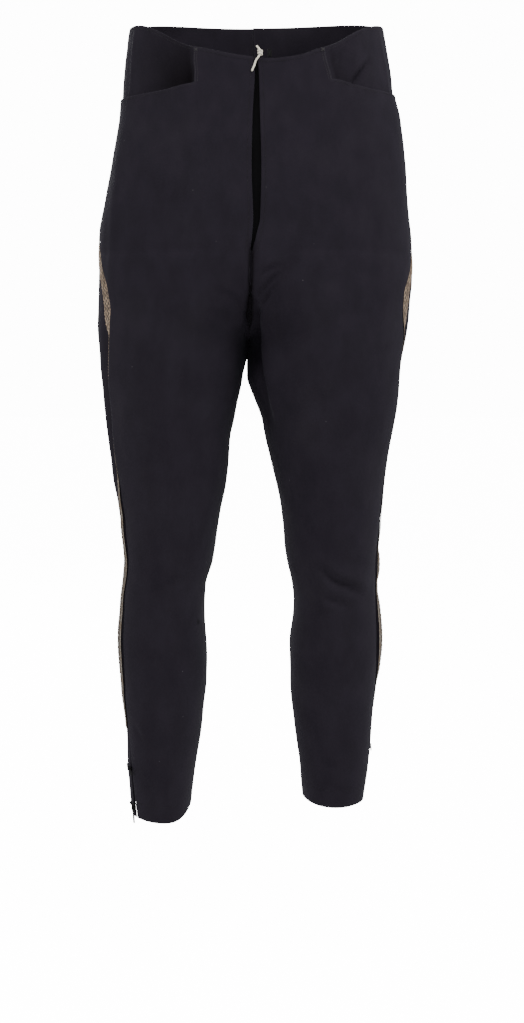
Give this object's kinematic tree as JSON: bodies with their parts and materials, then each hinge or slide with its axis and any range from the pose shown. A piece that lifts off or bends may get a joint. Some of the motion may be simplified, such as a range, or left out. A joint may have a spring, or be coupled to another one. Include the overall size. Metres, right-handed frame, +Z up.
{
  "type": "pantaloons",
  "caption": "Close-fitting wool pantaloons to the calf, with frog-mouth pockets, an open fly, lace over the side seams and tape ties at the hems, in the hollow form in which they are worn.",
  "frame": {"origin": "centre of the waist, where the wearer holds the garment up: the side of the waist edge is 10 mm above it", "axes": "+Z up the body, the front of the garment faces -Y, and +X is towards the wearer's left leg"},
  "size_m": [0.3907, 0.257, 1.0041],
  "materials": {
    "cloth": "dense dark blue wool cloth with a short nap",
    "underlap_cloth": "dark twilled cotton",
    "lace": "woven metal-thread lace, tarnished",
    "cord": "twisted white cotton",
    "tape": "narrow black woven tape"
  },
  "bodies": {
    "root": {"front_right": "cloth", "front_left": "cloth", "back_right": "cloth", "back_left": "cloth", "pocket_side_right": "cloth", "pocket_side_left": "cloth", "fly_underlap": "underlap_cloth", "lace_right": "lace", "lace_left": "lace", "waist_cord": "cord", "waist_cord_knot": "cord", "waist_tab": "tape", "hem_tie_upper_right": "tape", "hem_tie_lower_right": "tape", "hem_tie_upper_left": "tape", "hem_tie_lower_left": "tape"}
  },
  "joints": []
}
